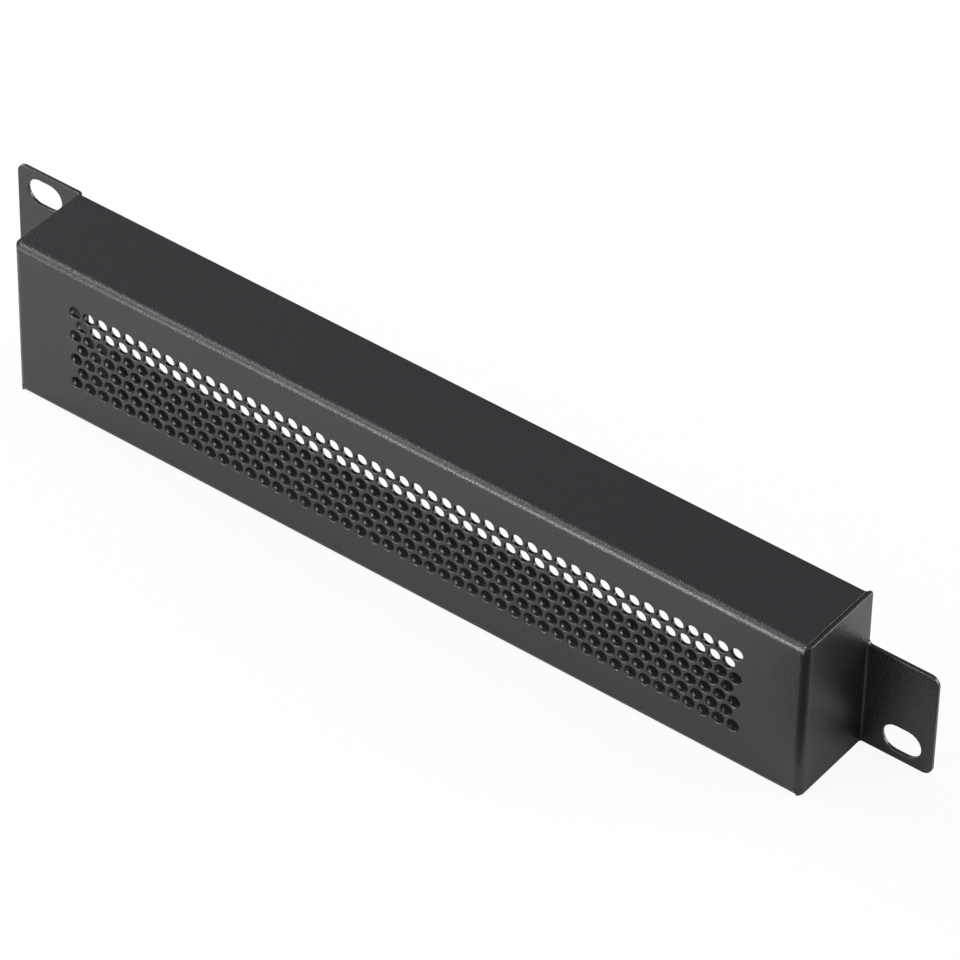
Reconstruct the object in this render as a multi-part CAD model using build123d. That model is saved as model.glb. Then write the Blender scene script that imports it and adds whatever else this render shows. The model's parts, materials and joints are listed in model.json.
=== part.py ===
from build123d import *
import os

# Perforated rack panel for a 10-inch rack, one unit high, folded from one steel sheet.
# A tray-shaped vent cover: the face stands forward of the rack's rails, a flange and a wall
# are folded back on each side, and from each side wall an ear is folded out again.
# The right ear is the lower one and the left ear the upper one: the left end is the right
# end turned by half a turn about the Y axis.
# X runs along the rack's width, +Y to the rear and +Z up. The origin is under the middle of
# the panel, on the plane of the bottom flange's outer face.

# The two screw slots, centre to centre. The outer screw holes of one unit in a 10-inch rack
# are 236.525 apart across the rack and 31.75 apart in height, where M6 screws pass the slots.
slot_spacing = 238.0
slot_rise = 31.0

# The sheet
sheet = 1.0  # with its coat
bend_inside = 1.0  # inner radius of every fold
corner_gap = 0.2  # slit between neighbouring folds
cut_corner = 0.5  # round of a free corner of the blank

# The body
slot_to_wall = 10.3  # slot centre to the outer face of the side wall
slot_to_rim = 6.0  # slot centre to the outer face of the flange beside it
depth = 24.0  # face to the rear of the ears
top_setback = 1.3  # the top flange ends this far in front of the ears' rear
bottom_setback = 0.3  # and the bottom flange this far
wall_inset = 0.4  # side walls and ears end this far inside the flanges' outer faces

# The ears
slot_to_end = 8.0  # slot centre to the ear's outer edge
ear_height = 27.9
ear_corner = 2.3
ear_root = 1.0  # round between the wall's rear edge and the ear's free edge
slot_height = 7.0
slot_travel = 3.0  # between the centres of the slot's round ends

# The perforation, in staggered rows
hole_diameter = 3.0
hole_pitch = 3.87
row_pitch = 3.4
side_margin = 17.0  # least from the wall's outer face to a hole centre
rim_margin = 11.0  # least from a flange's outer face to a hole centre

# What follows from them
overall_width = slot_spacing + 2 * slot_to_end
body_width = slot_spacing - 2 * slot_to_wall
height = slot_rise + 2 * slot_to_rim
bend_outside = bend_inside + sheet
front = -depth / 2
rear = depth / 2
ear_front = rear - sheet
flange_half = body_width / 2 - sheet - corner_gap
fold_side = body_width / 2 - bend_outside  # where the face starts to curve into a side wall
fold_rim = height - bend_outside  # where it starts to curve into the top flange
ear_top = wall_inset + ear_height


def folded_strip(plane, corners, radii):
    """Section of a folded sheet: the outer skin's path with its thickness to the left."""
    with BuildSketch(plane) as section:
        with BuildLine():
            FilletPolyline(*corners, radius=radii)
            offset(amount=sheet, side=Side.LEFT)
        make_face()
    return section.sketch


def slab(low, high):
    """Box between two opposite corners."""
    size = [b - a for a, b in zip(low, high)]
    return Pos(*low) * Box(*size, align=Align.MIN)


def free_edges(solid, axis, place):
    """Edges along an axis whose middle passes the test of place."""
    return solid.edges().filter_by(axis).filter_by(lambda edge: place(edge @ 0.5))


def flanged_face():
    """Face with its top and bottom flanges, a channel along the panel."""
    corners = [(rear - bottom_setback, 0), (front, 0), (front, height), (rear - top_setback, height)]
    skin = [(y, z) for y, z in reversed(corners)]
    channel = extrude(folded_strip(Plane.YZ, skin, bend_outside), flange_half, both=True)
    for side in (-1, 1):
        edges = sorted((side * fold_side, side * body_width / 2))
        channel -= slab((edges[0], front, bend_outside), (edges[1], front + bend_outside, fold_rim))
    corner_lines = free_edges(channel, Axis.Z, lambda p: p.Y > front + bend_outside and abs(p.X) > flange_half - 0.01)
    return fillet(corner_lines, cut_corner)


def right_wall():
    """Right half of the face's fold, the side wall behind it and the lower ear."""
    wall = body_width / 2
    to_ear = [(0, front), (wall, front), (wall, ear_front), (overall_width / 2, ear_front)]
    to_edge = [(0, front), (wall, front), (wall, rear)]
    eared = Pos(0, 0, wall_inset) * extrude(folded_strip(Plane.XY, to_ear, [bend_outside, bend_inside]), ear_height)
    plain = Pos(0, 0, ear_top) * extrude(folded_strip(Plane.XY, to_edge, bend_outside), height - wall_inset - ear_top)
    body = eared + plain + root_web(to_ear)
    inner = wall - sheet
    body -= slab((0, front, 0), (inner, front + bend_outside, bend_outside + corner_gap))
    body -= slab((0, front, fold_rim - corner_gap), (inner, front + bend_outside, height))
    body = fillet(free_edges(body, Axis.Y, lambda p: p.X > overall_width / 2 - 0.01), ear_corner)
    body = fillet(free_edges(body, Axis.X, lambda p: p.Y > rear - 0.01 and p.Z > height - wall_inset - 0.01), cut_corner)
    return body - slot(slot_spacing / 2, slot_to_rim)


def root_web(to_ear):
    """Sheet between the wall and the ear's free edge, hollowed to the round at the ear's root."""
    wall = body_width / 2
    web = Pos(0, 0, ear_top) * extrude(folded_strip(Plane.XY, to_ear, [bend_outside, bend_inside]), ear_root)
    web &= slab((wall - sheet, front + bend_outside, ear_top), (wall + ear_root, rear, ear_top + ear_root))
    round_line = Plane.XZ.offset(-rear) * Pos(wall + ear_root, ear_top + ear_root) * Circle(ear_root)
    return web - extrude(round_line, depth)


def slot(x, z):
    """Cutter of one screw slot, lying along X."""
    outline = Plane.XZ.offset(-rear) * Pos(x, z) * SlotCenterToCenter(slot_travel, slot_height)
    return extrude(outline, 2 * sheet, both=True)


def perforation():
    """Cutter of all the holes: long and short rows in turn, centred on the face."""
    columns = int((body_width - 2 * side_margin) / hole_pitch) + 1
    rows = int((height - 2 * rim_margin) / row_pitch) + 1
    holes = Sketch()
    for row in range(rows):
        z = height / 2 + (row - (rows - 1) / 2) * row_pitch
        places = GridLocations(hole_pitch, 1, columns - row % 2, 1)
        holes += [Pos(0, z) * place * Circle(hole_diameter / 2) for place in places]
    return extrude(Plane.XZ.offset(-front) * holes, 2 * sheet, both=True)


right = right_wall()
left = right.rotate(Axis((0, 0, height / 2), (0, 1, 0)), 180)
panel = flanged_face() + right + left - perforation()
panel.label = "vent_panel"

os.makedirs("parts", exist_ok=True)
export_step(panel, "parts/vent_panel.step")
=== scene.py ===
import json
from math import cos, pi, radians, sin
import bpy
import numpy as np
from mathutils import Matrix, Vector
from mathutils.geometry import delaunay_2d_cdt

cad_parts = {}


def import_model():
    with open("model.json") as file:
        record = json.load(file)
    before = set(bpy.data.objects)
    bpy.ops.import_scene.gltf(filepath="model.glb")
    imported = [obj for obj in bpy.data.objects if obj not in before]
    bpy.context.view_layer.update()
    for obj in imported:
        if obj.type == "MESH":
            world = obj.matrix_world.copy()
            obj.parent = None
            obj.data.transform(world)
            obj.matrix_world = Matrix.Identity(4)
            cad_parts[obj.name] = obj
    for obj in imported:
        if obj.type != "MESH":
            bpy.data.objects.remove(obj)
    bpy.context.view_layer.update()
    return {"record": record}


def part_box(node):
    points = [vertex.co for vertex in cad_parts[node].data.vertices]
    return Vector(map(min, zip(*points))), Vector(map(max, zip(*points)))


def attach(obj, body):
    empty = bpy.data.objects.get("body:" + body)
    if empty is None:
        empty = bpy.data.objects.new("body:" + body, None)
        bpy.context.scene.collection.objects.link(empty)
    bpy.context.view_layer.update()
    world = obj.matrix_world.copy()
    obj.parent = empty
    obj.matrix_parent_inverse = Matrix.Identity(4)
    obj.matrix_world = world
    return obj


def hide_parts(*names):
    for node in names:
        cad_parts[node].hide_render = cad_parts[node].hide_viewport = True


# The dressed vent panel: one sheet, cut flat with its holes and then folded, in black powder coat.
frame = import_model()
mm = 0.001
low, high = (np.array(corner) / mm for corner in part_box("vent_panel"))
mounts = {mount["name"]: np.array(mount["pos_m"]) / mm for mount in frame["record"]["mounts"]}
slotDims = next(m["dims"] for m in frame["record"]["mounts"] if m["name"] == "right_ear_slot")
slotRadius = slotDims["hole_r_mm"]
slotTravel = slotDims["slot_length_mm"] / 2 - slotRadius
print("frame", low, high)

# Sizes in millimetres. u runs along X and v along Z from the middle of the face, both as lengths
# on the outer skin of the unfolded sheet, and t is the depth below that skin.
sheet = {
    "thickness": 1.0,
    "bendInside": 1.0,
    "earBend": 0.6,
    "slotToWall": 10.3,
    "wallInset": 0.3,
    "topSetback": 1.3,
    "bottomSetback": 0.3,
    "cornerGap": 0.05,
    "earHeight": 27.9,
    "earCorner": 2.3,
    "cutCorner": 0.4,
    "flangeCorner": 0.11,
    "earRoot": 1.0,
    "earSlit": 0.08,
    "rim": 0.24,
    "flangeRim": 0.1,
    "cornerRim": 0.04,
    "innerRim": 0.12,
    "sideRimStart": 0.5,
    "sideRimBlend": 0.3,
    "cornerRimReach": 0.8,
    "cornerRimBlend": 1.2,
    "rimSteps": 3,
    "cornerSteps": 6,
    "bendSteps": 9,
    "bendInset": 0.03,
}
perforation = {
    "diameter": 3.0,
    "pitch": 3.87,
    "rowPitch": 3.4,
    "columns": 48,
    "rows": 7,
    "frontRim": 0.32,
    "backRim": 0.12,
    "rimSteps": 2,
    "sides": 20,
    "slotArcSteps": 10,
    "chordShare": 0.98,
}
# Lines nearer than apart belong together, points nearer than same are one point, and mergeWithin is
# the triangulation's own limit
apart, same, mergeWithin = 0.01, 1e-4, 1e-7

thickness = sheet["thickness"]
bendOutside = sheet["bendInside"] + thickness
halfHeight = (high[2] - low[2]) / 2
middleZ = (high[2] + low[2]) / 2
front, rear = low[1], high[1]
wallX = mounts["right_ear_slot"][0] - sheet["slotToWall"]
earFront = rear - thickness
foldU = wallX - bendOutside
foldV = halfHeight - bendOutside
wallV = halfHeight - sheet["wallInset"]
slitV = foldV - sheet["cornerGap"]
arcOut = bendOutside * pi / 2
arcEar = sheet["earBend"] * pi / 2
wallStart = foldU + arcOut
earFoldStart = wallStart + earFront - sheet["earBend"] - (front + bendOutside)
wallEnd = wallStart + rear - (front + bendOutside)
earFlatStart = earFoldStart + arcEar
earEnd = earFlatStart + high[0] - wallX - sheet["earBend"]
earTopV = -wallV + sheet["earHeight"]
flangeU = wallX - thickness - sheet["cornerGap"]
flangeFull = foldV + arcOut + rear - (front + bendOutside)
topEnd = flangeFull - sheet["topSetback"]
bottomEnd = flangeFull - sheet["bottomSetback"]
cutAngle = np.arcsin((bendOutside - thickness) / bendOutside)
tongueU = foldU + bendOutside * cutAngle


def roundedCorner(before, corner, after, radius):
    # Arc tangent to both edges at a corner; its centre lies on the bisector
    a, b, c = (np.array(p, float) for p in (before, corner, after))
    ba, bc = (a - b) / np.linalg.norm(a - b), (c - b) / np.linalg.norm(c - b)
    half = np.arccos(np.clip(ba @ bc, -1, 1)) / 2
    centre = b + (ba + bc) / np.linalg.norm(ba + bc) * radius / np.sin(half)
    start, end = b + ba * radius / np.tan(half), b + bc * radius / np.tan(half)
    a0 = np.arctan2(*(start - centre)[::-1])
    turn = (np.arctan2(*(end - centre)[::-1]) - a0 + pi) % (2 * pi) - pi
    angles = a0 + turn * np.linspace(0, 1, sheet["cornerSteps"] + 1)
    return centre + radius * np.stack([np.cos(angles), np.sin(angles)], 1)


def halfOutline(lowerEnd, upperEnd):
    # Right half of the blank's edge, upwards from the lower flange to the upper one,
    # as (u, v, corner radius)
    cut, tip = sheet["cutCorner"], sheet["flangeCorner"]
    ear, slit = sheet["earCorner"], sheet["earSlit"]
    return [
        (flangeU, -lowerEnd, tip),
        (flangeU, -foldV, 0),
        (foldU, -foldV, 0),
        (foldU, -slitV, 0),
        (tongueU, -slitV, 0),
        (tongueU, -wallV, 0),
        (earEnd, -wallV, ear),
        (earEnd, earTopV, ear),
        (earFoldStart, earTopV, 0),
        (earFoldStart, earTopV + slit, 0),
        (wallEnd, earTopV + slit, 0),
        (wallEnd, wallV, cut),
        (tongueU, wallV, 0),
        (tongueU, slitV, 0),
        (foldU, slitV, 0),
        (foldU, foldV, 0),
        (flangeU, foldV, 0),
        (flangeU, upperEnd, tip),
    ]


def outerRim(u, v):
    # Radius of the blank's outer arris: finer along the flanges' sides, and finest where folds meet
    u, v = np.abs(u), np.abs(v)
    side = np.clip((u - flangeU + sheet["sideRimStart"]) / sheet["sideRimBlend"], 0, 1)
    side = side * (v > foldV - apart) * (u < flangeU + apart)
    rim = sheet["rim"] + (sheet["flangeRim"] - sheet["rim"]) * side
    fromCorner = np.hypot(u - foldU, v - foldV) - sheet["cornerRimReach"]
    away = np.clip(fromCorner / sheet["cornerRimBlend"], 0, 1)
    return sheet["cornerRim"] + (rim - sheet["cornerRim"]) * away


def bendLines():
    # Lines of the blank that stay straight as it folds, equal steps of angle apart, each with the
    # stretch that it crosses: (axis, value, lowest, highest)
    share = np.linspace(0, 1, sheet["bendSteps"] + 1)
    rim, lines = sheet["rim"], []
    for turn in (1, -1):
        for u in foldU + arcOut * share:
            reach = slitV if u < tongueU + apart else wallV
            reach -= outerRim(u, reach)
            lines.append((0, turn * u, -reach, reach))
        for u in earFoldStart + arcEar * share:
            lines.append((0, turn * u, *sorted((turn * (rim - wallV), turn * (earTopV - rim)))))
        for v in foldV + arcOut * share:
            reach = foldU if v < foldV + apart else flangeU
            reach -= outerRim(reach, v)
            lines.append((1, turn * v, -reach, reach))
    return lines


def withCrossings(points):
    # The outline with a point added wherever a bend line meets an edge. The lines end a rim's width
    # inside it, hence the margin.
    lines, margin, result = bendLines(), 0.5, []
    for a, b in zip(points, np.roll(points, -1, axis=0)):
        result.append(a)
        axis = 0 if abs(b[0] - a[0]) > abs(b[1] - a[1]) else 1
        across = (a[1 - axis] + b[1 - axis]) / 2
        marks = {line[1] for line in lines
                 if line[0] == axis and line[2] - margin < across < line[3] + margin}
        start, end = sorted((a[axis], b[axis]))
        inside = [m for m in marks if start + same < m < end - same]
        for m in sorted(inside, reverse=bool(b[axis] < a[axis])):
            point = a.copy()
            point[axis] = m
            result.append(point)
    return np.array(result)


def outline():
    # The blank's whole edge: the right half, and the same turned by half a turn but for the
    # flanges' own ends
    corners = halfOutline(bottomEnd, topEnd)
    corners += [(-u, -v, r) for u, v, r in halfOutline(topEnd, bottomEnd)]
    points = []
    for i, (u, v, r) in enumerate(corners):
        if r:
            before, after = corners[i - 1][:2], corners[(i + 1) % len(corners)][:2]
            points.extend(roundedCorner(before, (u, v), after, r))
        else:
            points.append(np.array((u, v)))
    return withCrossings(np.array(points))


def edgeNormals(loop):
    # Outward direction at each point of a loop, scaled so that an offset keeps every edge parallel
    edges = np.roll(loop, -1, axis=0) - loop
    edges /= np.linalg.norm(edges, axis=1)[:, None]
    normals = np.stack([edges[:, 1], -edges[:, 0]], 1)
    before = np.roll(normals, 1, axis=0)
    bisector = normals + before
    bisector /= np.linalg.norm(bisector, axis=1)[:, None]
    return bisector / np.sum(bisector * normals, axis=1)[:, None]


def holeCentres():
    # Staggered rows: row r is shifted by half a pitch, and the short rows have one hole less
    rows = np.arange(perforation["rows"])
    centres = []
    for row in rows:
        count = perforation["columns"] - row % 2
        u = (np.arange(count) - (count - 1) / 2) * perforation["pitch"]
        v = np.full(count, (row - (len(rows) - 1) / 2) * perforation["rowPitch"])
        centres.append(np.stack([u, v], 1))
    return np.concatenate(centres)


def slotLoop(turn):
    # Two half circles joined by straight runs, clockwise so that its outward side is the opening
    centre = np.array([earFlatStart + mounts["right_ear_slot"][0] - wallX - sheet["earBend"],
                       mounts["right_ear_slot"][2] - middleZ])
    angles = np.linspace(-pi / 2, pi / 2, perforation["slotArcSteps"] + 1)
    end = np.stack([slotTravel + slotRadius * np.cos(angles), slotRadius * np.sin(angles)], 1)
    return (np.concatenate([end, -end])[::-1] + centre) * turn


def fold(u, v, t):
    # The blank's point to the folded sheet's, and the directions of u, v and the skin's normal
    # there. Past a fold's start the skin follows an arc of the outer radius, and the ears a second
    # arc the other way. t moves the point inwards from the skin.
    turn = np.where(u < 0, -1.0, 1.0)
    u, v = u * turn, v * turn
    flap = np.sign(v)
    onFlange = (np.abs(v) > (foldV + slitV) / 2) & (u < (flangeU + tongueU) / 2)
    zero, one = np.zeros_like(u), np.ones_like(u)

    past = np.clip(np.abs(v) - foldV, 0, None)
    angle = np.clip(past / bendOutside, 0, pi / 2)
    run = np.clip(past - arcOut, 0, None)
    z = np.minimum(np.abs(v), foldV) + (bendOutside - t) * np.sin(angle)
    y = bendOutside - (bendOutside - t) * np.cos(angle) + run
    flange = np.stack([u, front + y, z * flap], 1)
    flangeFrame = (np.stack([one, zero, zero], 1),
                   np.stack([zero, np.sin(angle) * flap, np.cos(angle)], 1),
                   np.stack([zero, -np.cos(angle), np.sin(angle) * flap], 1))

    past = np.clip(u - foldU, 0, None)
    angle = np.clip(past / bendOutside, 0, pi / 2)
    run = np.clip(past - arcOut, 0, None)
    x = np.minimum(u, foldU) + (bendOutside - t) * np.sin(angle)
    y = front + bendOutside - (bendOutside - t) * np.cos(angle) + run
    onEar = (u > earFoldStart) & (v < earTopV + sheet["earSlit"] / 2)
    inside = sheet["earBend"]
    back = np.clip((u - earFoldStart) / inside, 0, pi / 2)
    out = np.clip(u - earFlatStart, 0, None)
    earX = wallX + inside - (inside + t) * np.cos(back) + out
    earY = earFront - inside + (inside + t) * np.sin(back)
    x, y = np.where(onEar, earX, x), np.where(onEar, earY, y)
    heading = np.where(onEar, pi / 2 - back, angle)
    wall = np.stack([x, y, v], 1)
    wallFrame = (np.stack([np.cos(heading), np.sin(heading), zero], 1),
                 np.stack([zero, zero, one], 1),
                 np.stack([np.sin(heading), -np.cos(heading), zero], 1))

    pick = onFlange[:, None]
    place = np.where(pick, flange, wall)
    axes = [np.where(pick, a, b) for a, b in zip(flangeFrame, wallFrame)]
    spin = np.stack([turn, one, turn], 1)
    axes = [a * spin for a in axes]
    axes[0] = axes[0] * turn[:, None]
    axes[1] = axes[1] * turn[:, None]
    place = place * spin + np.array([0, 0, middleZ])
    return place, axes


def rimRings(frontRim, backRim, steps):
    # Section of a rounded edge along two quarter arcs, front to back: (inset from the edge, depth,
    # angle from the front skin's normal to the point's)
    turns = np.linspace(0, pi / 2, steps + 1)
    rings = [(frontRim * (1 - np.sin(a)), frontRim * (1 - np.cos(a)), a) for a in turns]
    rings += [(backRim * (1 - np.cos(a)), thickness - backRim * (1 - np.sin(a)), pi / 2 + a)
              for a in turns]
    return rings


def sheetLoops(centres):
    # Every edge of the blank with its rims: (points, front rim, back rim, steps)
    angles = np.arange(perforation["sides"]) / perforation["sides"] * 2 * pi
    circle = np.stack([np.cos(angles), -np.sin(angles)], 1) * perforation["diameter"] / 2
    edge = outline()
    edgeRim, rim, steps = outerRim(*edge.T), sheet["rim"], sheet["rimSteps"]
    loops = [(edge, edgeRim, np.minimum(edgeRim, sheet["innerRim"]), steps)]
    loops += [(slotLoop(turn), rim, rim, steps) for turn in (1, -1)]
    loops += [(centre + circle, perforation["frontRim"], perforation["backRim"],
               perforation["rimSteps"]) for centre in centres]
    return loops


def sheetMesh():
    # The blank's skin is triangulated once between its loops and used for both sides. Round rims
    # join the two sides, and every point is then folded. A row holds a point's u, v and depth, the
    # edge's outward direction in u and v, and the angle from the front skin's normal to its own.
    centres = holeCentres()
    loops = sheetLoops(centres)
    rows, quads, frontSkin, backSkin, count = [], [], [], [], 0
    for points, frontRim, backRim, steps in loops:
        n = len(points)
        outward = edgeNormals(points)
        unit = outward / np.linalg.norm(outward, axis=1)[:, None]
        rings = rimRings(frontRim, backRim, steps)
        for inset, depth, angle in rings:
            ring = points - outward * np.broadcast_to(inset, n)[:, None]
            rows.append(np.column_stack([ring, np.broadcast_to(depth, n), unit, np.full(n, angle)]))
        index = count + np.arange(len(rings) * n).reshape(len(rings), n)
        a, b = index[:-1], index[1:]
        quads.append(np.stack([a, b, np.roll(b, -1, 1), np.roll(a, -1, 1)], 2).reshape(-1, 4))
        frontSkin.append(index[0])
        backSkin.append(index[-1])
        count += index.size
    extra, bends = bendEdges(rows[0][:, :2])
    n = len(extra)
    for depth, angle, skin in ((0, 0, frontSkin), (thickness, pi, backSkin)):
        depths, angles = np.full(n, depth), np.full(n, angle)
        rows.append(np.column_stack([extra, depths, np.zeros((n, 2)), angles]))
        skin.append(count + np.arange(n))
        count += n
    rows, quads, frontSkin, backSkin = map(np.concatenate, (rows, quads, frontSkin, backSkin))
    spans = [len(loop[0]) for loop in loops]
    triangles = skinTriangles(rows[frontSkin, :2], spans, bends, centres)

    place, (alongU, alongV, normal) = fold(*rows[:, :3].T)
    outwards = rows[:, 3:4] * alongU + rows[:, 4:5] * alongV
    lean = rows[:, 5:]
    shading = np.cos(lean) * normal + np.sin(lean) * outwards
    faces = frontSkin[triangles].tolist() + backSkin[triangles][:, ::-1].tolist()
    return place * mm, faces + quads.tolist(), shading


def skinTriangles(flat, spans, bends, centres):
    # Triangles of the blank between its loops, which come first among the points, and along the
    # bend lines. What lies outside the outline or in an opening is left out.
    base = sum(spans)
    bends = [[i if i >= 0 else base - i - 1 for i in pair] for pair in bends]
    edges, start = [], 0
    for n in spans:
        ids = start + np.arange(n)
        edges.append(np.stack([ids, np.roll(ids, -1)], 1))
        start += n
    edges = np.concatenate(edges).tolist() + bends
    made = delaunay_2d_cdt([Vector(p) for p in flat], edges, [], 0, mergeWithin)
    madePoints, _, madeFaces, origins = made[:4]
    if len(madePoints) != len(flat):
        raise ValueError(f"the triangulation added points: {len(flat)} to {len(madePoints)}")
    order = np.array([ids[0] for ids in origins])
    triangles = order[np.array(madeFaces)]
    middle = flat[triangles].mean(1)
    triangles = triangles[inOutline(middle, flat[:spans[0]]) & ~inOpenings(middle, centres)]
    side = flat[triangles]
    area = np.cross(side[:, 1] - side[:, 0], side[:, 2] - side[:, 0])
    print("blank", len(flat), "points", len(triangles), "triangles")
    return np.where(area[:, None] > 0, triangles, triangles[:, ::-1])


def bendEdges(edge):
    # Straight constraints across each fold. An end takes the edge's own point there, or a new point
    # just inside, counted from -1 downwards.
    extra, pairs, inset = [], [], sheet["bendInset"]
    for axis, value, lowest, highest in bendLines():
        pair = []
        for end, inwards in ((lowest, inset), (highest, -inset)):
            point = np.zeros(2)
            point[axis], point[1 - axis] = value, end
            gaps = np.abs(edge - point).max(1)
            if gaps.min() < same:
                pair.append(int(gaps.argmin()))
                continue
            point[1 - axis] += inwards
            extra.append(point)
            pair.append(-len(extra))
        pairs.append(pair)
    return np.array(extra), pairs


def inOutline(points, edge):
    # Even and odd count of the outline's edges to the right of each point
    a, b = edge, np.roll(edge, -1, axis=0)
    px, py = points[:, :1], points[:, 1:]
    straddles = (a[:, 1] > py) != (b[:, 1] > py)
    rise = np.where(b[:, 1] == a[:, 1], 1, b[:, 1] - a[:, 1])
    cross = a[:, 0] + (py - a[:, 1]) * (b[:, 0] - a[:, 0]) / rise
    return np.sum(straddles & (px < cross), axis=1) % 2 == 1


def inOpenings(points, centres):
    # Inside a hole where the nearest centre is under a radius away, and inside a slot where its
    # spine is. The loops are chords of their circles, so the reach is a little under the radius.
    chordShare = perforation["chordShare"]
    holeReach = (perforation["diameter"] / 2 + perforation["frontRim"]) * chordShare
    gap = np.min(np.linalg.norm(points[:, None, :] - centres[None], axis=2), axis=1)
    inside = gap < holeReach
    for turn in (1, -1):
        off = points - slotLoop(turn).mean(0)
        off[:, 0] -= np.clip(off[:, 0], -slotTravel, slotTravel)
        inside |= np.linalg.norm(off, axis=1) < (slotRadius + sheet["rim"]) * chordShare
    return inside


# The small webs at the upper right corner and at the ears' roots. Each laps the sheet by a hair, so
# that its own borders lie inside the sheet.
webs = {
    "cornerRadius": 0.8,
    "cornerDepth": 0.6,
    "cornerLap": 0.2,
    "wallLap": 0.04,
    "sink": 0.02,
    "lift": 0.003,
    "steps": 8,
    "flatSteps": 3,
}


def gridPatch(place, shading):
    # Quads over a grid of points, turned so that they face the way its shading does
    rows, columns = place.shape[:2]
    ids = np.arange(rows * columns).reshape(rows, columns)
    faces = np.stack([ids[:-1, :-1], ids[1:, :-1], ids[1:, 1:], ids[:-1, 1:]], -1).reshape(-1, 4)
    place, shading = place.reshape(-1, 3), shading.reshape(-1, 3)
    corners = place[faces]
    facing = np.cross(corners[:, 1] - corners[:, 0], corners[:, 3] - corners[:, 0])
    agrees = np.sum(facing * shading[faces].mean(1)) > 0
    return place, faces if agrees else faces[:, ::-1], shading


def cornerWeb():
    # Coat that closes the slit at the rear of the upper right corner. Its free edge is hollow, a
    # quarter round from the flange's rear edge to the wall, and its top slopes down to the wall's.
    # Its section runs from the flange over the top, round the edge and back below.
    root, rim, deep = webs["cornerRadius"], sheet["flangeRim"], webs["cornerDepth"]
    cosHalf, sag = 0.7, 0.3
    edgeY, wallFace = rear - sheet["topSetback"], wallX - thickness
    turns = np.linspace(0, pi / 2, webs["steps"] + 1)
    x = wallFace - root + (root + webs["wallLap"]) * np.sin(turns)
    y = edgeY + root * (1 - np.cos(turns))
    top = middleZ + halfHeight - webs["sink"] - sheet["wallInset"] * (1 - np.cos(turns))
    out = np.stack([-np.sin(turns), np.cos(turns), np.zeros_like(turns)], -1)
    up = np.zeros_like(out)
    up[:, 2] = 1
    edge = np.stack([x, y, top], -1)
    inner = np.stack([x, np.full_like(x, edgeY - webs["cornerLap"]), top], -1)
    section = [(inner, up),
               (edge - out * rim, up),
               (edge - (out + up) * rim * sag, (out + up) * cosHalf),
               (edge - up * rim, out),
               (edge - up * (deep - rim), out),
               (edge - out * rim - up * deep, -up),
               (inner - up * deep, -up)]
    place, faces, shading = gridPatch(*(np.stack(part) for part in zip(*section)))
    return place * mm, faces.tolist(), shading


def rootWebs():
    # The round at each ear's root: a web on the ear's free edge, which follows the ear's bend and
    # rises to the wall. Its free edge is hollow, a quarter round about a line along Y, with the
    # sheet's rims on both sides. The left web is the right one turned by half a turn.
    inside, root = sheet["earBend"], sheet["earRoot"]
    rings = np.array(rimRings(sheet["rim"], sheet["innerRim"], sheet["rimSteps"])).T
    drops, depths, lean = (np.concatenate([[first], ring, [last]])
                           for first, ring, last in zip((0, 0, 0), rings, (0, thickness, pi)))
    bend = np.linspace(0, pi / 2, webs["steps"] + 1)
    flat = np.linspace(0, root - inside, webs["flatSteps"] + 1)[1:]
    past = np.concatenate([np.zeros_like(bend), flat])[:, None]
    back = np.concatenate([bend, np.full_like(flat, pi / 2)])
    back, depths = np.meshgrid(back, depths, indexing="ij")
    x = wallX + inside - (inside + depths) * np.cos(back) + past
    y = earFront - inside + (inside + depths) * np.sin(back)
    off = np.clip(wallX + root - x, 0, root)
    rise = root - np.sqrt(root ** 2 - off ** 2)
    z = earTopV + rise - drops
    z[:, 0] = z[:, -1] = earTopV - sheet["rim"] - webs["sink"]
    skin = np.stack([np.cos(back), -np.sin(back), np.zeros_like(back)], -1)
    hollow = np.stack([off, np.zeros_like(off), root - rise], -1) / root
    onSkin, onHollow = np.cos(lean)[:, None], np.sin(lean)[:, None]
    place = np.stack([x, y, z], -1) + webs["lift"] * (np.abs(onSkin) * skin + onHollow * hollow)
    place, faces, shading = gridPatch(place, onSkin * skin + onHollow * hollow)
    half = np.array([-1, 1, -1])
    places = np.concatenate([place, place * half]) + np.array([0, 0, middleZ])
    faces = np.concatenate([faces, faces + len(place)]).tolist()
    return places * mm, faces, np.concatenate([shading, shading * half])


def joined(parts):
    # Points, faces and normals of several parts as those of one
    places, faces, shadings, count = [], [], [], 0
    for place, partFaces, shading in parts:
        places.append(place)
        shadings.append(shading)
        faces += [[count + i for i in face] for face in partFaces]
        count += len(place)
    return np.concatenate(places), faces, np.concatenate(shadings)


def newPiece(name, vertices, faces, shading=None):
    mesh = bpy.data.meshes.new(name)
    mesh.from_pydata(vertices.tolist(), [], faces)
    mesh.polygons.foreach_set("use_smooth", np.ones(len(faces), bool))
    if shading is not None:
        mesh.normals_split_custom_set_from_vertices(shading.tolist())
    mesh.validate(clean_customdata=False)
    piece = bpy.data.objects.new(name, mesh)
    bpy.context.scene.collection.objects.link(piece)
    return piece


powder = {
    "colour": (0.0078, 0.0078, 0.0088, 1),
    "roughness": 0.3,
    "grain": {"scale": 2600, "detail": 2, "depth": 0.0001},
    "peel": {"scale": 620, "detail": 1, "depth": 0.00002},
}


def plainMaterial(name, colour, roughness, specular=None):
    material = bpy.data.materials.new(name)
    material.use_nodes = True
    shader = material.node_tree.nodes["Principled BSDF"]
    shader.inputs["Base Color"].default_value = colour
    shader.inputs["Roughness"].default_value = roughness
    if specular is not None:
        shader.inputs["Specular IOR Level"].default_value = specular
    return material, shader


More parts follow.
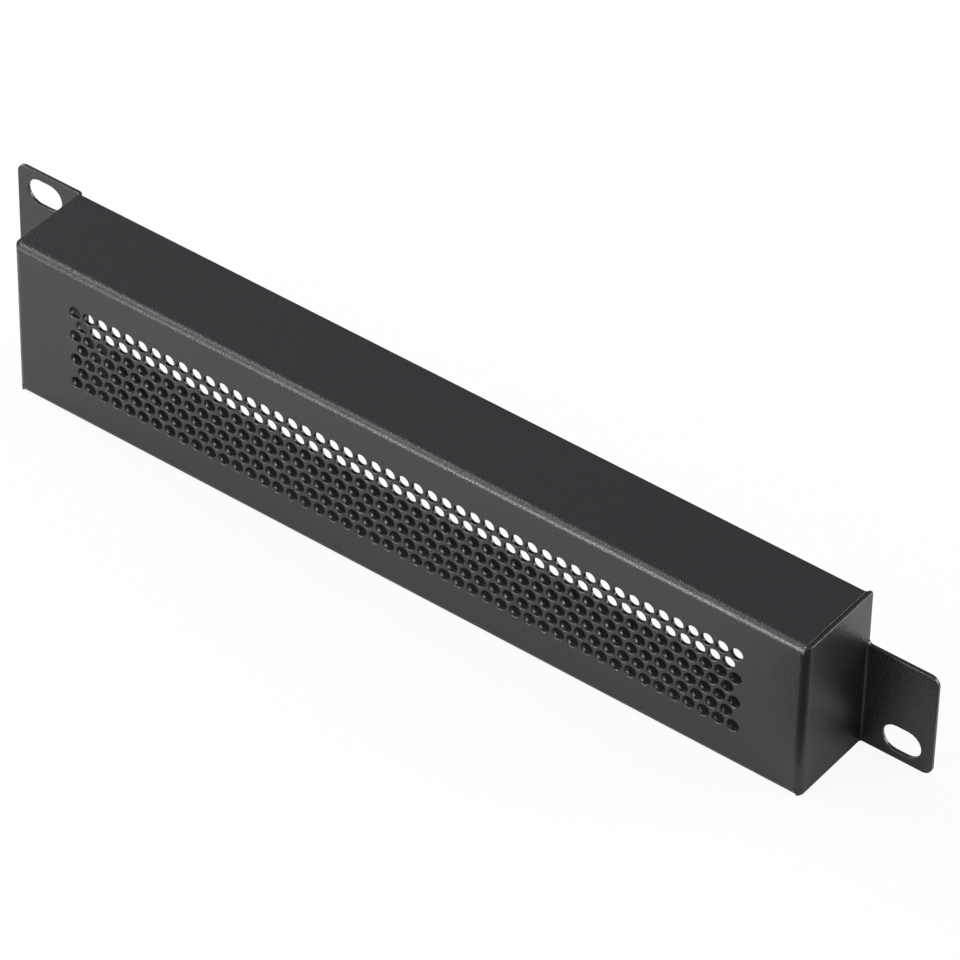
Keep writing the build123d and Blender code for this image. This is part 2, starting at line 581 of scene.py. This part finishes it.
def powderCoat():
    # Semi-gloss black with two layers of noise as bump: the powder's fine grain and a flatter peel
    material, shader = plainMaterial("blackPowderCoat", powder["colour"], powder["roughness"])
    nodes, links = material.node_tree.nodes, material.node_tree.links
    place = nodes.new("ShaderNodeTexCoord")
    below = None
    for layer in (powder["grain"], powder["peel"]):
        noise = nodes.new("ShaderNodeTexNoise")
        noise.inputs["Scale"].default_value = layer["scale"]
        noise.inputs["Detail"].default_value = layer["detail"]
        links.new(place.outputs["Object"], noise.inputs["Vector"])
        bump = nodes.new("ShaderNodeBump")
        bump.inputs["Distance"].default_value = layer["depth"]
        links.new(noise.outputs["Fac"], bump.inputs["Height"])
        if below:
            links.new(below.outputs["Normal"], bump.inputs["Normal"])
        below = bump
    links.new(below.outputs["Normal"], shader.inputs["Normal"])
    return material


panel = newPiece("ventPanel", *joined([sheetMesh(), rootWebs(), cornerWeb()]))
panel.data.materials.append(powderCoat())
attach(panel, "root")
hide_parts("vent_panel")
print("panel", len(panel.data.polygons), "faces")

studio = {
    "floorColour": (0.66, 0.66, 0.66, 1),
    "floorRoughness": 0.9,
    "floorSpecular": 0.1,
    "floorHalf": 3.0,
    "floorWhite": 0.92,
    "worldColour": (0.94, 0.955, 1.05, 1),
    "worldStrength": 0.41,
    # The cards' black is painted shade, seen only in the panel's reflections
    "paintedShadeColour": (0.01, 0.01, 0.011, 1),
    "floorCardPoint": (0.117, -0.017),
    "floorCardTurn": 36.6,
    "floorCardReach": (-0.052, 0.12),
    "floorCardDepth": 0.08,
    "floorCardLift": 0.0004,
    "rearCardX": 0.104,
    "rearCardY": 0.0145,
    "rearCardZ": (0.002, 0.023),
    "lightTarget": (0, 0, 0.02),
}
# Each light: place, diameter of its disk and power
lights = {
    "key": ((-1.95, -0.52, 1.63), 0.87, 28),
    "keyHigh": ((-1.1, -0.9, 2.0), 0.9, 8),
    "left": ((-1.6, 0.3, 0.7), 0.8, 22),
    "low": ((-0.15, -1.0, 0.12), 0.84, 9.5),
    "spark": ((-0.26, -1.0, 0.09), 0.26, 4.2),
    "fill": ((-0.75, -1.2, 0.6), 1.35, 6.6),
    "side": ((0.9, -0.3, 1.0), 1.2, 2.5),
    "rearRight": ((1.4, 1.2, 0.6), 1.3, 36),
}


def floor():
    # A plain pale floor. The camera sees it nearly evenly white, as on a lit table, and the panel
    # mirrors it with its true light and shade.
    half = studio["floorHalf"]
    corners = np.array([(-half, -half, 0), (half, -half, 0), (half, half, 0), (-half, half, 0)])
    piece = newPiece("studioFloor", corners, [(0, 1, 2, 3)])
    material, shader = plainMaterial("paleFloor", studio["floorColour"],
                                     studio["floorRoughness"], studio["floorSpecular"])
    nodes, links = material.node_tree.nodes, material.node_tree.links
    white = nodes.new("ShaderNodeEmission")
    ray = nodes.new("ShaderNodeLightPath")
    share = nodes.new("ShaderNodeMath")
    share.operation = "MULTIPLY"
    share.inputs[1].default_value = studio["floorWhite"]
    links.new(ray.outputs["Is Camera Ray"], share.inputs[0])
    mix = nodes.new("ShaderNodeMixShader")
    links.new(share.outputs["Value"], mix.inputs["Fac"])
    links.new(shader.outputs["BSDF"], mix.inputs[1])
    links.new(white.outputs["Emission"], mix.inputs[2])
    links.new(mix.outputs["Shader"], nodes["Material Output"].inputs["Surface"])
    piece.data.materials.append(material)


def floorShadeCard():
    # A black card flat on the floor before the nearest corner: painted shade, which the corner's
    # bend mirrors as a dark band
    turn = radians(studio["floorCardTurn"])
    along, away = np.array((cos(turn), sin(turn))), np.array((sin(turn), -cos(turn)))
    near, far = (studio["floorCardPoint"] + along * reach for reach in studio["floorCardReach"])
    out = away * studio["floorCardDepth"]
    flat = (near, near + out, far + out, far)
    paintedShadeCard("floorShadeCard", [(*point, studio["floorCardLift"]) for point in flat])


def rearShadeCard():
    # A low black card across the tray's open rear: painted shade, which darkens what the inside
    # behind the holes mirrors
    x, y, (base, top) = studio["rearCardX"], studio["rearCardY"], studio["rearCardZ"]
    paintedShadeCard("rearShadeCard", [(-x, y, base), (x, y, base), (x, y, top), (-x, y, top)])


def paintedShadeCard(name, corners):
    # A black sheet that paints shade into the panel's reflections: the panel mirrors it, the camera
    # doesn't see it, and it casts no shadow.
    piece = newPiece(name, np.array(corners), [(0, 1, 2, 3)])
    material, _ = plainMaterial("paintedShadeBlack", studio["paintedShadeColour"], 1.0, 0.0)
    piece.data.materials.append(material)
    piece.visible_camera = False
    piece.visible_shadow = False
    piece.visible_diffuse = False


def softLight(name, place, size, power):
    light = bpy.data.lights.new(name, "AREA")
    light.shape = "DISK"
    light.size = size
    light.energy = power
    lamp = bpy.data.objects.new(name, light)
    lamp.location = place
    aim = Vector(studio["lightTarget"]) - Vector(place)
    lamp.rotation_euler = aim.to_track_quat("-Z", "Y").to_euler()
    bpy.context.scene.collection.objects.link(lamp)


def world():
    sky = bpy.data.worlds.new("softRoom")
    sky.use_nodes = True
    background = sky.node_tree.nodes["Background"]
    background.inputs["Color"].default_value = studio["worldColour"]
    background.inputs["Strength"].default_value = studio["worldStrength"]
    bpy.context.scene.world = sky


floor()
floorShadeCard()
rearShadeCard()
world()
for name, (place, size, power) in lights.items():
    softLight(name, place, size, power)
print("studio ready")

view = {
    "azimuth": 36.582,
    "elevation": 41.011,
    "roll": 1.175,
    "distance": 1.3789,
    "target": (0.00835, 0.00743, 0.02264),
    "focalPixels": 6292.8,
    "imagePixels": 960,
    "sensor": 36,
    "clipEnd": 20,
}


def camera():
    # Stands on the line through the target at the given azimuth and elevation, and is turned about
    # that line by the roll
    data = bpy.data.cameras.new("photoCamera")
    data.sensor_width = view["sensor"]
    data.lens = view["focalPixels"] / view["imagePixels"] * view["sensor"]
    data.clip_end = view["clipEnd"]
    eye = bpy.data.objects.new("photoCamera", data)
    turn = (Matrix.Rotation(radians(view["azimuth"]), 4, "Z")
            @ Matrix.Rotation(radians(90 - view["elevation"]), 4, "X")
            @ Matrix.Rotation(radians(view["roll"]), 4, "Z"))
    back = Matrix.Translation((0, 0, view["distance"]))
    eye.matrix_world = Matrix.Translation(view["target"]) @ turn @ back
    bpy.context.scene.collection.objects.link(eye)
    bpy.context.scene.camera = eye


camera()
bpy.context.scene.view_settings.view_transform = "Standard"
bpy.context.view_layer.update()
